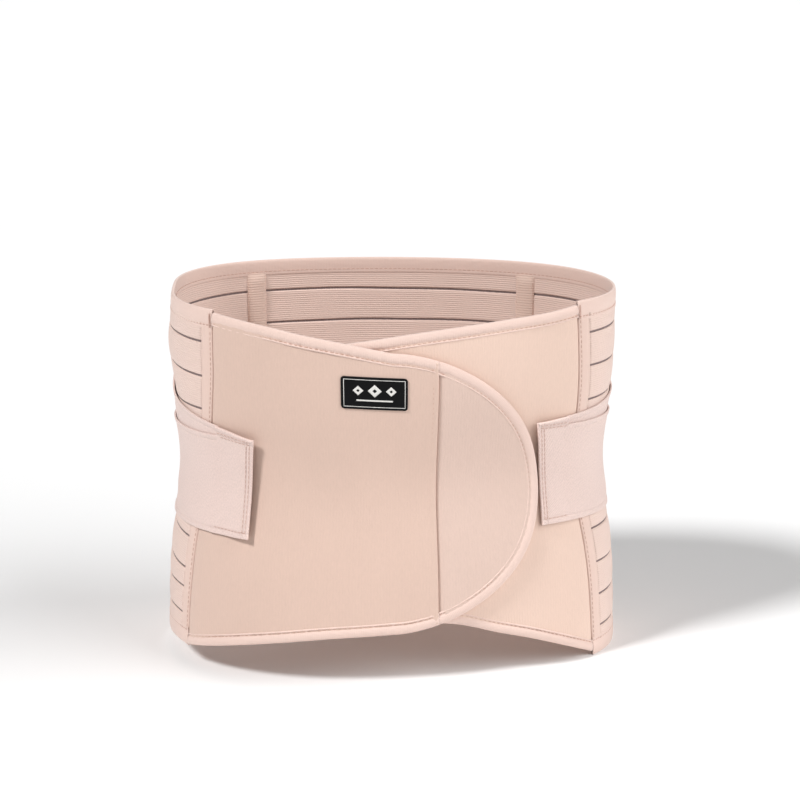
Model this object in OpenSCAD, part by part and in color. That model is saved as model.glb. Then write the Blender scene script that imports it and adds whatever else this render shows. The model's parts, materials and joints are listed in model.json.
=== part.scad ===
// Wrap-around back brace: an elastic back, two padded front panels that close with hook and
// loop, and two double pull straps. Millimetres, +Z up, standing on its bottom edge.

/* [Brace] */
// Height of the back
brace_h = 250; // [220:1:280]
// Half width at the bottom edge
bottom_half_w = 155; // [150:0.5:160]
// Half width at the top edge
top_half_w = 152; // [148:0.5:158]
// Half depth at the bottom edge
half_d = 115; // [110:0.5:120]
// How far the waist draws in
waist_dip = 10.3; // [4:0.1:13]
// Height of the waist
waist_z = 132; // [120:1:145]
// How far the waist spreads up and down
waist_spread = 46; // [40:1:60]
// How much fuller the left side is than the right along the front
front_egg = 0.235; // [0.1:0.005:0.26]
// How much fuller the left side is than the right along the back
back_egg = 0.04; // [0:0.005:0.2]
// How square the loop is
squareness = 0.027; // [0.01:0.001:0.03]

/* [Elastic back] */
// Distance from one elastic band to the next
band_pitch = 23.2; // [22:0.1:24]
// Height of the open mesh between two bands
mesh_gap = 2.3; // [1.5:0.1:3]
// Height of the highest mesh strip
first_gap_z = 227.5; // [225:0.5:230]
// Thickness of a band
band_t = 1.6; // [1:0.1:2]
// Depth of the edge trim on the outside
trim_out = 13; // [10:0.5:14]
// Depth of the edge trim on the inside
trim_in = 11; // [8:0.5:12]
// Thickness of tape and trim
tape_t = 0.6; // [0.4:0.1:0.7]
// Width of the tape that covers the band ends
seam_tape_w = 10; // [8:0.5:12]

/* [Front panels] */
// Thickness of the foam core
foam_t = 1.5; // [1:0.1:1.8]
// Thickness of the brushed face
face_t = 0.6; // [0.3:0.1:0.7]
// Thickness of the lining
lining_t = 0.4; // [0.2:0.1:0.5]
// How far the outer panel stands off where it overlaps the inner one
overlap_lift = 5; // [4.9:0.1:6]
// How far the outer panel reaches past the middle of the front
flap_reach = 99.5; // [90:0.5:99.5]
// Where the rounded end is sewn to the outer panel
end_seam_u = 25.5; // [15:0.5:30]
// Where the inner panel ends under the outer one
inner_end_u = -42; // [-44:1:-30]
// Width of the edge binding
binding_w = 7.5; // [6:0.5:9]
// Width of the label
label_w = 39; // [30:0.5:44]
// Height of the label
label_h = 20; // [14:0.5:24]

/* [Pull straps] */
// Thickness of one strap
strap_t = 0.8; // [0.6:0.1:1]
// Width of one strap
strap_w = 66; // [60:1:66]
// Where the left tab ends
left_tab_u = -89.7; // [-98:0.1:-86]
// Where the right tab ends
right_tab_u = 104.5; // [104.5:0.1:110]
// Where the straps are sewn down, from the middle of the back
anchor_u = 94.5; // [84:0.5:100]

/* [Stays] */
// Distance from the middle of the back to a stay
stay_u = 94.5; // [80:0.5:100]
// Width of a stay
stay_w = 8; // [6:0.5:9]
// Thickness of a stay
stay_t = 1; // [0.8:0.1:1.2]
// Width of the casing around a stay
casing_w = 13; // [12:0.5:16]

/* [Hidden] */
body_gap = 0.6;            // between pieces of two bodies at a seam
layer_gap = 0.3;           // between a panel and the binding around it
fit_gap = 0.15;            // between a band and what covers it
step_u = 15;               // longest facet along the loop
step_z = 16;               // tallest facet of a tape or strap
facets = 180;              // samples of the loop's length
centre_shift = [0, 4.28];  // brings the box to the middle of the frame
band_count = 11;
left_rise = 9.5;           // height of the bottom edge at the left seam

BAND_NODES = [for (i = [1:band_count]) str("elastic_band_", i < 10 ? "0" : "", i)];

skin = [0.92, 0.81, 0.75];
pale = [0.95, 0.85, 0.79];
dark_mesh = [0.35, 0.35, 0.37];
steel = [0.7, 0.72, 0.75];
black = [0.06, 0.06, 0.07];

// ---- The loop: every soft piece lies on one surface, at a length u along the loop from the
// middle of the front (to the right), a height z and an offset outwards from the surface.

function half_w(z) = bottom_half_w + (top_half_w - bottom_half_w) * z / brace_h
    - waist_dip * exp(-pow((z - waist_z) / waist_spread, 2));
function loop_point(t, z) = let (
    a = half_w(z),
    b = half_d * a / bottom_half_w,
    x = a * (cos(t) - squareness * cos(3 * t)) / (1 - squareness),
    y = b * (sin(t) + squareness * sin(3 * t)) / (1 - squareness),
    egg = (front_egg + back_egg) / 2 - (front_egg - back_egg) / 2 * sin(t)
) [x, y * (1 - egg * x / a)];
function front_angle(i) = -90 + i * 360 / facets;
function facet_length(i) =
    norm(loop_point(front_angle(i + 1), brace_h / 2) - loop_point(front_angle(i), brace_h / 2));
length_to_angle = [
    for (i = 0, s = 0; i <= facets; s = s + facet_length(i), i = i + 1) [s, front_angle(i)]
];
loop_length = length_to_angle[facets][0];
back_u = length_to_angle[facets / 2][0];   // the middle of the back
function angle_at(u) = lookup(u < 0 ? u + loop_length : u, length_to_angle);
function on_loop(u, z, off) = let (
    t = angle_at(u),
    p = loop_point(t, z),
    d = loop_point(t + 1, z) - loop_point(t - 1, z),
    q = p + off * [d.y, -d.x] / norm(d) + centre_shift
) [q.x, q.y, z];

// ---- Helpers

function mix(a, b, s) = a + (b - a) * s;
function smooth(a, b, v) = let (s = max(0, min(1, (v - a) / (b - a)))) s * s * (3 - 2 * s);
function steps(a, b, longest) = let (n = max(1, ceil(abs(b - a) / longest)))
    [for (i = [0:n]) mix(a, b, i / n)];
// Smooth curve through the points of an edge, each [u, z] with u rising
function edge_slope(e, i) = i == 0 ? (e[1].y - e[0].y) / (e[1].x - e[0].x)
    : i == len(e) - 1 ? (e[i].y - e[i - 1].y) / (e[i].x - e[i - 1].x)
    : (e[i + 1].y - e[i - 1].y) / (e[i + 1].x - e[i - 1].x);
function edge_part(e, u, i = 0) = (i >= len(e) - 2 || u < e[i + 1].x) ? i : edge_part(e, u, i + 1);
function along_edge(e, u) = let (
    i = edge_part(e, u),
    w = e[i + 1].x - e[i].x,
    s = (u - e[i].x) / w
) e[i].y * (1 + 2 * s) * pow(1 - s, 2) + w * edge_slope(e, i) * s * pow(1 - s, 2)
    + e[i + 1].y * s * s * (3 - 2 * s) + w * edge_slope(e, i + 1) * s * s * (s - 1);

// ---- Outlines

// Length u of the left and of the right front seam, and of the line the left one hinges on
function left_seam(z) = mix(-143, -114.5, smooth(60, 215, z));
function right_seam(z) = mix(142.5, 125.5, z / brace_h);
function left_hinge(z) = mix(left_seam(0), left_seam(brace_h), z / brace_h);

outer_top = [[-150, 249], [-113.5, 247], [-77, 242.3], [-55, 237.4], [-29, 231.6], [0, 224.4]];
outer_bottom = [[-150, 13.5], [-128, 18.5], [-81, 29.4], [-44, 34.6], [0, 36.8]];
inner_top = [[-44, 229], [-20, 231.6], [17, 236.3], [72, 241.5], [110, 244.5], [145, 249.6]];
inner_bottom = [[-44, 45], [0, 43], [40, 39.6], [70, 30.2], [90, 24], [113, 15.5], [145, 2.4]];

end_mid_z = 130.6;
end_half_h = 93.8;
end_tip = 2.4;             // the curve would close this far past the flat tip
function end_half(u) = end_half_h * pow(1 - pow(u / (flap_reach + end_tip), 1.75), 0.52);
function end_mid(u) = end_mid_z - 0.03 * u;
function outer_top_z(u) = u < 0 ? along_edge(outer_top, u) : end_mid(u) + end_half(u);
function outer_bottom_z(u) = u < 0 ? along_edge(outer_bottom, u) : end_mid(u) - end_half(u);
function inner_top_z(u) = along_edge(inner_top, u);
function inner_bottom_z(u) = along_edge(inner_bottom, u);
// The back stands on z = 0, and its bottom edge rises a little towards the left seam
function back_bottom_z(u) = let (v = u > back_u ? u - loop_length : u)
    v < 0 ? left_rise * smooth(-215, -145, v) : 0;

// How far the outer panel stands off: flat at its seam, lifted over the inner panel
function lift(u) = overlap_lift * smooth(-124, -58, u);
// The lift of a piece that lies on the left, outer panel (side -1) or on the right, inner one
function lift_at(side, u) = side < 0 ? lift(u) : 0;

panel_out = foam_t / 2 + face_t;
panel_in = -foam_t / 2 - lining_t;

// ---- Solids on the loop

function triangles(quads) = [for (q = quads) each [[q[0], q[1], q[2]], [q[0], q[2], q[3]]]];

// A closed shell over a grid of columns, each a list of [u, z, lift], between two offsets
module shell(grid, inner, outer) {
    n = len(grid) - 1;
    m = len(grid[0]) - 1;
    side = (n + 1) * (m + 1);
    function at(i, j) = i * (m + 1) + j;
    points = [
        for (off = [outer, inner]) for (column = grid) for (p = column)
            on_loop(p[0], p[1], p[2] + off)
    ];
    quads = concat(
        [for (i = [0:n - 1]) for (j = [0:m - 1]) [at(i, j), at(i, j + 1), at(i + 1, j + 1), at(i + 1, j)]],
        [for (i = [0:n - 1]) for (j = [0:m - 1]) [
            at(i, j) + side, at(i + 1, j) + side, at(i + 1, j + 1) + side, at(i, j + 1) + side
        ]],
        [for (i = [0:n - 1]) [at(i, 0), at(i + 1, 0), at(i + 1, 0) + side, at(i, 0) + side]],
        [for (i = [0:n - 1]) [at(i + 1, m), at(i, m), at(i, m) + side, at(i + 1, m) + side]],
        [for (j = [0:m - 1]) [at(0, j + 1), at(0, j), at(0, j) + side, at(0, j + 1) + side]],
        [for (j = [0:m - 1]) [at(n, j), at(n, j + 1), at(n, j + 1) + side, at(n, j) + side]]
    );
    polyhedron(points, triangles(quads));
}

// A folded strip: rings of 8 points round a U, whose legs lie inside and outside
module folded(rings) {
    n = len(rings) - 1;
    points = [for (ring = rings) each ring];
    sides = [
        for (k = [0:n - 1]) for (j = [0:7]) let (j2 = (j + 1) % 8)
            [k * 8 + j, (k + 1) * 8 + j, (k + 1) * 8 + j2, k * 8 + j2]
    ];
    legs = [[0, 1, 6, 7], [1, 2, 5, 6], [2, 3, 4, 5]];
    first = [for (q = legs) [q[0], q[1], q[2], q[3]]];
    last = [for (q = legs) [for (j = [3:-1:0]) n * 8 + q[j]]];
    polyhedron(points, triangles(concat(sides, first, last)));
}
// ---- Elastic back

// Columns of the back run from the right seam round to the left one
function back_u_at(z, s, margin) =
    mix(right_seam(z) + margin, loop_length + left_seam(z) - margin, s);
back_shares = [for (i = [0:32]) i / 32];
// Height of the mesh strip below band i: the lowest ones rise with the bottom edge
function level_z(i) = first_gap_z - band_pitch * (i - 1);
function gap_z(i, u) = level_z(i) + back_bottom_z(u) * max(0, 1 - level_z(i) / 70);
function band_top(i, u) = i == 1 ? brace_h - fit_gap - tape_t : gap_z(i - 1, u) - mesh_gap / 2;
function band_bottom(i, u) = let (low = back_bottom_z(u) + tape_t + fit_gap)
    i == band_count ? low : gap_z(i, u) + mesh_gap / 2;

module band(i) {
    grid = [for (s = back_shares) let (
        u = back_u_at(level_z(i), s, seam_tape_w)
    ) [for (z = [band_bottom(i, u), band_top(i, u)]) [back_u_at(z, s, seam_tape_w), z, 0]]];
    color(skin) shell(grid, 0, band_t);
}

// The strips of open mesh between the bands
module mesh_strips() {
    mesh_t = 0.4;
    color(dark_mesh) for (i = [1:band_count - 1]) {
        grid = [for (s = back_shares) let (z0 = gap_z(i, back_u_at(level_z(i), s, seam_tape_w))) [
            for (z = [z0 - mesh_gap / 2, z0 + mesh_gap / 2])
                [back_u_at(z, s, seam_tape_w), z, 0]
        ]];
        shell(grid, band_t / 2 - mesh_t / 2, band_t / 2 + mesh_t / 2);
    }
}

// Trim folded over an edge of the back; up is 1 at the top edge and -1 at the bottom one. Its rings
// lie on the columns of the bands, with one more at each seam.
function trim_u(z, k) = k == 0 ? back_u_at(z, 0, body_gap / 2)
    : k == len(back_shares) + 1 ? back_u_at(z, 1, body_gap / 2)
    : back_u_at(z, back_shares[k - 1], seam_tape_w);
module back_trim(up) {
    out0 = band_t + fit_gap;
    in0 = -fit_gap;
    last = len(back_shares) + 1;
    color(pale) folded([for (i = [0:last]) let (
        k = up > 0 ? i : last - i,
        edge = up > 0 ? brace_h : back_bottom_z(trim_u(0, k))
    ) [for (p = [
        [out0 + tape_t, trim_out], [out0 + tape_t, 0], [in0 - tape_t, 0], [in0 - tape_t, trim_in],
        [in0, trim_in], [in0, tape_t], [out0, tape_t], [out0, trim_out]
    ]) let (z = edge - up * p[1]) on_loop(trim_u(z, k), z, p[0])]]);
}

// Tape over the ends of the bands beside the left (-1) or the right (1) front seam
module seam_tape(side) {
    low = (side < 0 ? back_bottom_z(left_seam(0)) : 0) + trim_out + body_gap;
    near = body_gap / 2;
    far = seam_tape_w - fit_gap;
    color(skin) shell([for (d = side > 0 ? [near, far] : [-far, -near]) [
        for (z = steps(low, brace_h - trim_out - body_gap, step_z))
            [(side > 0 ? right_seam(z) : left_seam(z)) + d, z, 0]
    ]], 0, band_t + fit_gap);
}

// ---- Stays: flat steel in sewn casings inside the back

casing_ends = [trim_in + 2, brace_h - trim_in - 2];
casing_off = -0.5;         // the casing's edges lie just inside the bands
tip_h = 9;

module casing(middle) {
    half = casing_w / 2;
    wall = 1.2;
    roof = -stay_t - 1;
    color(pale) folded([for (z = steps(casing_ends[0], casing_ends[1], step_z)) [for (p = [
        [half, casing_off], [half, roof - tape_t], [-half, roof - tape_t], [-half, casing_off],
        [wall - half, casing_off], [wall - half, roof], [half - wall, roof], [half - wall, casing_off]
    ]) on_loop(middle + p[0], z, p[1])]]);
}
module flat_in_casing(middle, width, low, high) {
    shell([for (side = [-1, 1]) [
        for (z = steps(low, high, step_z)) [middle + side * width / 2, z, 0]
    ]], -stay_t - 0.7, -0.7);
}
module stay(middle) {
    color(steel) flat_in_casing(middle, stay_w, casing_ends[0] + tip_h, casing_ends[1] - tip_h);
}
module stay_tips() {
    color(black) for (middle = [back_u - stay_u, back_u + stay_u]) {
        flat_in_casing(middle, stay_w, casing_ends[0] + 1, casing_ends[0] + tip_h - 0.2);
        flat_in_casing(middle, stay_w, casing_ends[1] - tip_h + 0.2, casing_ends[1] - 1);
    }
}

// ---- Pull straps: two overlapping elastics a side, sewn to the back and held by one tab

root_gap = 0.5;                          // the strap ends this far before the hinge line
tab_gap = 9.5;                           // and its tab starts this far past it
under_off = band_t + 0.8;                // the upper strap lies over bands and seam tape
over_off = under_off + strap_t + layer_gap;
anchor_tape_w = 14;
hook_t = 0.7;
tab_t = 1.6;
tab_off = panel_out + layer_gap + fit_gap;
tab_slant = 2.2;                         // the free end leans by this much at each corner
// Each pair of straps at its tab and at its anchor, as [u, top, bottom]
left_fan = [[left_tab_u, 166.2, 98.5], [back_u + anchor_u - loop_length, 205, 90]];
right_fan = [[right_tab_u, 172.6, 100], [back_u - anchor_u, 200, 92]];
function fan_edge(fan, edge, u) =
    mix(fan[0][edge], fan[1][edge], (u - fan[0].x) / (fan[1].x - fan[0].x));

// One elastic from its anchor to the front seam, side -1 on the left and 1 on the right
module strap(side, upper) {
    fan = side < 0 ? left_fan : right_fan;
    off = upper ? under_off : over_off;
    function strap_u(z, s) = side < 0 ? mix(fan[1].x, left_hinge(z) - root_gap, s)
        : mix(right_seam(z) + root_gap, fan[1].x, s);
    grid = [for (s = steps(0, 1, 1 / 14)) let (
        u = strap_u(waist_z, s),
        high = upper ? fan_edge(fan, 1, u) : fan_edge(fan, 2, u) + strap_w,
        low = high - strap_w
    ) [for (z = steps(low, high, step_z)) [strap_u(z, s), z, 0]]];
    color(pale) shell(grid, off, off + strap_t);
}

// Tape that sews the rear ends of a pair down, over the full height of the back
module anchor_tape(fan) {
    rise = over_off + strap_t - band_t;
    function over_straps(z) = rise * smooth(fan[1].z - 16, fan[1].z - 3, z)
        * (1 - smooth(fan[1].y + 3, fan[1].y + 16, z));
    zs = steps(trim_out + body_gap, brace_h - trim_out - body_gap, 11);
    color(skin) shell([for (d = [-0.5, 0, 0.5]) [
        for (z = zs) [fan[1].x + d * anchor_tape_w, z, over_straps(z)]
    ]], band_t + layer_gap, band_t + layer_gap + tape_t);
}

// A tab from just past the seam to its free end, or its hook pad, which is inset all round
function tab_grid(side, inset) = let (
    fan = side < 0 ? left_fan : right_fan,
    low = fan[0].z + inset,
    high = fan[0].y - inset
) [for (i = [0:4]) [for (z = steps(low, high, step_z)) let (
    seam_end = side < 0 ? left_hinge(z) + tab_gap + inset : right_seam(z) - tab_gap - inset,
    slant = mix(-tab_slant, tab_slant, (z - low) / (high - low)),
    free_end = fan[0].x + (side < 0 ? slant : -slant) + side * inset,
    u = side < 0 ? mix(seam_end, free_end, i / 4) : mix(free_end, seam_end, i / 4)
) [u, z, lift_at(side, u)]]];
module tab(side) {
    color(pale) shell(tab_grid(side, 0), tab_off + hook_t + layer_gap, tab_off + hook_t + tab_t);
}
module tab_hook(side) {
    color(skin) shell(tab_grid(side, 4), tab_off, tab_off + hook_t);
}

// ---- Front panels

panel_rows = 14;
panel_columns = 11;
end_columns = 6;

// The length u at height z and share s of the way across each panel, with u to the right
function outer_u(z, s) = mix(left_seam(z) + body_gap / 2, end_seam_u - body_gap / 2, s);
function end_u(z, s) = mix(end_seam_u + body_gap / 2, flap_reach, sin(90 * s));
function inner_u(z, s) = mix(inner_end_u, right_seam(z) - body_gap / 2, s);

// A point of a panel edge at share s: [height, u], found where the slanted column meets it
function edge_at(across, edge, s) = let (z = edge(across(edge(across(waist_z, s)), s)))
    [z, across(z, s)];
// Columns of a panel
function panel_grid(across, bottom, top, side, columns) = [for (i = [0:columns]) let (
    low = edge_at(across, bottom, i / columns)[0],
    high = edge_at(across, top, i / columns)[0]
) [for (j = [0:panel_rows]) let (
    z = mix(low, high, j / panel_rows),
    u = across(z, i / columns)
) [u, z, lift_at(side, u)]]];

outer_grid = panel_grid(function (z, s) outer_u(z, s), function (u) outer_bottom_z(u),
    function (u) outer_top_z(u), -1, panel_columns);
end_grid = panel_grid(function (z, s) end_u(z, s), function (u) outer_bottom_z(u),
    function (u) outer_top_z(u), -1, end_columns);
inner_grid = panel_grid(function (z, s) inner_u(z, s), function (u) inner_bottom_z(u),
    function (u) inner_top_z(u), 1, panel_columns);

module face(grid) { color(skin) shell(grid, foam_t / 2, panel_out); }
module foam(grid) { color(pale) shell(grid, -foam_t / 2, foam_t / 2); }
module lining(grid) { color(pale) shell(grid, panel_in, -foam_t / 2); }

// Binding folded over an edge: stations are [u, z, inward direction], side picks the lift
module binding(stations, side) {
    out0 = panel_out + layer_gap;
    in0 = panel_in - layer_gap;
    tip = -layer_gap - tape_t;
    color(pale) folded([for (e = stations) [for (p = [
        [out0 + tape_t, binding_w], [out0 + tape_t, tip], [in0 - tape_t, tip],
        [in0 - tape_t, binding_w], [in0, binding_w], [in0, -layer_gap],
        [out0, -layer_gap], [out0, binding_w]
    ]) let (u = e[0] + p[1] * e[2].x, z = e[1] + p[1] * e[2].y)
        on_loop(u, z, lift_at(side, u) + p[0])]]);
}
// Stations along the top or the bottom of a panel, whose columns give the inward direction
function panel_edge(grid, up) = [for (k = [0:len(grid) - 1]) let (
    column = grid[up ? len(grid) - 1 - k : k],
    edge = column[up ? panel_rows : 0],
    next = column[up ? panel_rows - 1 : 1],
    along = [next.x - edge.x, next.y - edge.y]
) [edge.x, edge.y, along / norm(along)]];
// Stations round the curved end, from the bottom of its seam to the top
function end_edge() = let (
    outline = concat(
        [for (i = [0:end_columns]) [end_grid[i][0].x, end_grid[i][0].y]],
        [for (j = [2:2:panel_rows - 2]) [end_grid[end_columns][j].x, end_grid[end_columns][j].y]],
        [for (i = [end_columns:-1:0]) [end_grid[i][panel_rows].x, end_grid[i][panel_rows].y]]
    ),
    last = len(outline) - 1
) [for (k = [0:last]) let (
    along = outline[min(k + 1, last)] - outline[max(k - 1, 0)],
    inward = k == 0 ? [0, 1] : k == last ? [0, -1] : [-along.y, along.x] / norm(along)
) [outline[k].x, outline[k].y, inward]];

// The label, sewn flat on the outer panel
module label() {
    label_u = -11.3;
    label_z = 198.6;
    label_tilt = -0.08;
    color(black) shell([for (u = steps(-label_w / 2, label_w / 2, step_u)) [
        for (z = [-label_h / 2, label_h / 2])
            [label_u + u, label_z + z + label_tilt * u, lift(label_u + u)]
    ]], panel_out + layer_gap, panel_out + layer_gap + tape_t);
}

for (i = [1:band_count]) band(i);
mesh_strips();
back_trim(1);  // top_trim
back_trim(-1);  // bottom_trim
seam_tape(-1);  // left_seam_tape
seam_tape(1);  // right_seam_tape
casing(back_u + stay_u);  // left_stay_casing
casing(back_u - stay_u);  // right_stay_casing
stay(back_u + stay_u);  // left_stay
stay(back_u - stay_u);  // right_stay
stay_tips();
strap(-1, true);  // left_strap_upper
strap(-1, false);  // left_strap_lower
strap(1, true);  // right_strap_upper
strap(1, false);  // right_strap_lower
anchor_tape(left_fan);  // left_anchor_tape
anchor_tape(right_fan);  // right_anchor_tape
face(outer_grid);  // outer_panel_face
foam(outer_grid);  // outer_panel_foam
lining(outer_grid);  // outer_panel_lining
binding(panel_edge(outer_grid, true), -1);  // outer_panel_top_binding
binding(panel_edge(outer_grid, false), -1);  // outer_panel_bottom_binding
label();
face(end_grid);  // flap_end_face
foam(end_grid);  // flap_end_foam
lining(end_grid);  // flap_end_hook_pad
binding(end_edge(), -1);  // flap_end_binding
face(inner_grid);  // inner_panel_face
foam(inner_grid);  // inner_panel_foam
lining(inner_grid);  // inner_panel_lining
binding(panel_edge(inner_grid, true), 1);  // inner_panel_top_binding
binding(panel_edge(inner_grid, false), 1);  // inner_panel_bottom_binding
tab(-1);  // left_tab
tab_hook(-1);  // left_tab_hook
tab(1);  // right_tab
tab_hook(1);  // right_tab_hook
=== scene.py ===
"""Looks of a wrap-around back brace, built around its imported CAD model.

Every soft piece lies on one loop surface. A place on it is a length u along the loop from the
middle of the front (rising towards +X), a height z and an offset outwards, all in millimetres.
on_loop() turns such places into points in metres, in the frame of the CAD model.
"""
import json
import math
import bpy
import bmesh
import numpy as np
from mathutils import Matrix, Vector

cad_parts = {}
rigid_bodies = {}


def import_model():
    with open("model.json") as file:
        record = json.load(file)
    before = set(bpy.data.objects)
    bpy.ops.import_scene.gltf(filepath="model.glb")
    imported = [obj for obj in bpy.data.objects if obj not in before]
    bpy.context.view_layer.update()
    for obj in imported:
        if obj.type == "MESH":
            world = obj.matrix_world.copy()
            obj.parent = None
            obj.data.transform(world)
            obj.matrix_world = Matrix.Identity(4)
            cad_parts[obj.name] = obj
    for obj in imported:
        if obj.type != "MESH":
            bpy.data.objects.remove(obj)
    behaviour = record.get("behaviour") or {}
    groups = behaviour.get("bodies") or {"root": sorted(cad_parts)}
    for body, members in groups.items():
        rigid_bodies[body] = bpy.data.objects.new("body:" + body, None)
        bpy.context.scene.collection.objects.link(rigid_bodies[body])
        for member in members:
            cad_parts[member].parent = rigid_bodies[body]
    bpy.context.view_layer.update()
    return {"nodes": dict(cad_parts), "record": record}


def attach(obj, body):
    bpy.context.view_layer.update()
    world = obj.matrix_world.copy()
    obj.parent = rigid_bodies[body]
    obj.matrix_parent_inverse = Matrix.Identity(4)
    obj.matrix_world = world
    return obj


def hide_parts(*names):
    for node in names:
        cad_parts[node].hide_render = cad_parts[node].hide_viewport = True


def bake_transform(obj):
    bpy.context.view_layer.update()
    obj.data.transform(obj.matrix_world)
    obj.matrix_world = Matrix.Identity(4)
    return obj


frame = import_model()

MM = 0.001

# ---- The loop, with the CAD model's own sizes

BRACE_H = 250.0
BOTTOM_HALF_W = 155.0
TOP_HALF_W = 152.0
HALF_D = 115.0
WAIST_DIP, WAIST_Z, WAIST_SPREAD = 10.3, 132.0, 46.0
FRONT_EGG, BACK_EGG = 0.235, 0.04
SQUARENESS = 0.027
CENTRE_SHIFT_Y = 4.28
FACETS = 180
# The worn left side leans in by RIM_LEAN at its rim and by WAIST_LEAN above its waist
LEAN_U, LEAN_SPREAD = -208, 34
RIM_LEAN, RIM_LEAN_Z = 3.2, 212
WAIST_LEAN, WAIST_LEAN_Z, WAIST_LEAN_SPREAD = 2.6, 188, 15


def mix(a, b, s):
    return a + (b - a) * s


def smooth(a, b, v):
    s = np.clip((v - a) / (b - a), 0, 1)
    return s * s * (3 - 2 * s)


def ridge(distance, width):
    """A smooth bump: 1 at distance 0, fading over about a width."""
    return np.exp(-(distance / width) ** 2)


def half_w(z):
    return mix(BOTTOM_HALF_W, TOP_HALF_W, z / BRACE_H) - WAIST_DIP * ridge(z - WAIST_Z, WAIST_SPREAD)


def loop_point(t, z):
    """x and y of the loop at angle t (degrees) and height z."""
    r = np.radians(t)
    a = half_w(z)
    b = HALF_D * a / BOTTOM_HALF_W
    x = a * (np.cos(r) - SQUARENESS * np.cos(3 * r)) / (1 - SQUARENESS)
    y = b * (np.sin(r) + SQUARENESS * np.sin(3 * r)) / (1 - SQUARENESS)
    egg = (FRONT_EGG + BACK_EGG) / 2 - (FRONT_EGG - BACK_EGG) / 2 * np.sin(r)
    return x, y * (1 - egg * x / a)


def distances(path):
    """Distance along a path of points to each of them."""
    return np.concatenate([[0], np.cumsum(np.linalg.norm(np.diff(path, axis=0), axis=1))])


ANGLES = np.linspace(-90, 270, FACETS + 1)
LENGTHS = distances(np.stack(loop_point(ANGLES, BRACE_H / 2), 1))
LOOP_LENGTH = LENGTHS[-1]
BACK_U = LENGTHS[FACETS // 2]


def from_front(u):
    """u from the middle of the front, below 0 on the left half."""
    return np.where(u > BACK_U, u - LOOP_LENGTH, u)


def on_loop(u, z, off):
    """Points in metres, from arrays of the same shape (or single numbers) in millimetres."""
    u, z, off = np.broadcast_arrays(*[np.asarray(v, float) for v in (u, z, off)])
    t = np.interp(np.where(u < 0, u + LOOP_LENGTH, u), LENGTHS, ANGLES)
    x, y = loop_point(t, z)
    x1, y1 = loop_point(t + 1, z)
    x0, y0 = loop_point(t - 1, z)
    size = np.hypot(x1 - x0, y1 - y0)
    lean = (RIM_LEAN * smooth(RIM_LEAN_Z, BRACE_H, z)
            + WAIST_LEAN * ridge(z - WAIST_LEAN_Z, WAIST_LEAN_SPREAD))
    off = off - lean * ridge(from_front(u) - LEAN_U, LEAN_SPREAD)
    x, y = x + off * (y1 - y0) / size, y - off * (x1 - x0) / size + CENTRE_SHIFT_Y
    return np.stack([x, y, z], -1) * MM


# ---- Outlines, as in the CAD model, with the seams and the left lower edge moved to the photo's

END_SEAM_U = 28.4
INNER_END_U = -42.0
FLAP_TIP_U = 99.8
END_MID_Z, END_HALF_H = 130.6, 93.8
END_POWER, END_ROOT = 1.75, 0.52
OVERLAP_LIFT = 5.0
STAY_U = 94.5
LEFT_SEAM_LOW, LEFT_SEAM_HIGH = -143, -114.5
RIGHT_SEAM_LOW, RIGHT_SEAM_HIGH = 142.5, 125.5


def left_seam(z):
    return mix(LEFT_SEAM_LOW, LEFT_SEAM_HIGH, 0.17 * smooth(0, 80, z) + 0.83 * smooth(90, 215, z))


def right_seam(z):
    return mix(RIGHT_SEAM_LOW, RIGHT_SEAM_HIGH, z / BRACE_H)


def front_seam(side, z):
    return left_seam(z) if side < 0 else right_seam(z)


def left_hinge(z):
    return mix(LEFT_SEAM_LOW, LEFT_SEAM_HIGH, z / BRACE_H)


def back_bottom_z(u):
    """Height of the back's lower edge, which rises towards the left seam."""
    v = from_front(u)
    return np.where(v < 0, 14.1 * smooth(-285, -148, v), 0)


def lift(u):
    """How far the outer panel stands off: flat at its seam, lifted over the inner panel."""
    return OVERLAP_LIFT * smooth(-124, -58, u)


def flat(u):
    return np.zeros_like(u)


def through(points):
    """A smooth edge height z(u) through its points [u, z]."""
    e = np.array(points, float)
    slopes = np.empty(len(e))
    slopes[1:-1] = (e[2:, 1] - e[:-2, 1]) / (e[2:, 0] - e[:-2, 0])
    slopes[0] = (e[1, 1] - e[0, 1]) / (e[1, 0] - e[0, 0])
    slopes[-1] = (e[-1, 1] - e[-2, 1]) / (e[-1, 0] - e[-2, 0])

    def height(u):
        u = np.asarray(u, float)
        i = np.clip(np.searchsorted(e[:, 0], u, side="right") - 1, 0, len(e) - 2)
        w = e[i + 1, 0] - e[i, 0]
        s = (u - e[i, 0]) / w
        return (e[i, 1] * (1 + 2 * s) * (1 - s) ** 2 + w * slopes[i] * s * (1 - s) ** 2
                + e[i + 1, 1] * s * s * (3 - 2 * s) + w * slopes[i + 1] * s * s * (s - 1))
    return height


outer_top = through([[-150, 249], [-113.5, 247], [-77, 242.3], [-55, 237.4], [-29, 231.6], [0, 224.4]])
outer_bottom = through([[-150, 13.5], [-128, 18.5], [-81, 29.4], [-44, 34.6], [0, 36.8]])
inner_top = through([[-44, 229], [-20, 231.6], [17, 236.3], [72, 241.5], [110, 244.5], [145, 249.6]])
inner_bottom = through([[-44, 45], [0, 43], [40, 39.6], [70, 30.2], [90, 24], [113, 15.5], [145, 2.4]])


def end_half(u):
    return END_HALF_H * np.clip(1 - (np.maximum(u, 0) / FLAP_TIP_U) ** END_POWER, 0, 1) ** END_ROOT


def end_mid(u):
    return END_MID_Z - 0.03 * u


def outer_top_z(u):
    return np.where(u < 0, outer_top(np.minimum(u, 0)), end_mid(u) + end_half(u))


def outer_bottom_z(u):
    return np.where(u < 0, outer_bottom(np.minimum(u, 0)), end_mid(u) - end_half(u))


# ---- Materials. Each fabric reads the "cloth" attribute: u, z and the distance to the piece's
# edge, in millimetres, so its weave follows the cloth when the brace opens.

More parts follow.
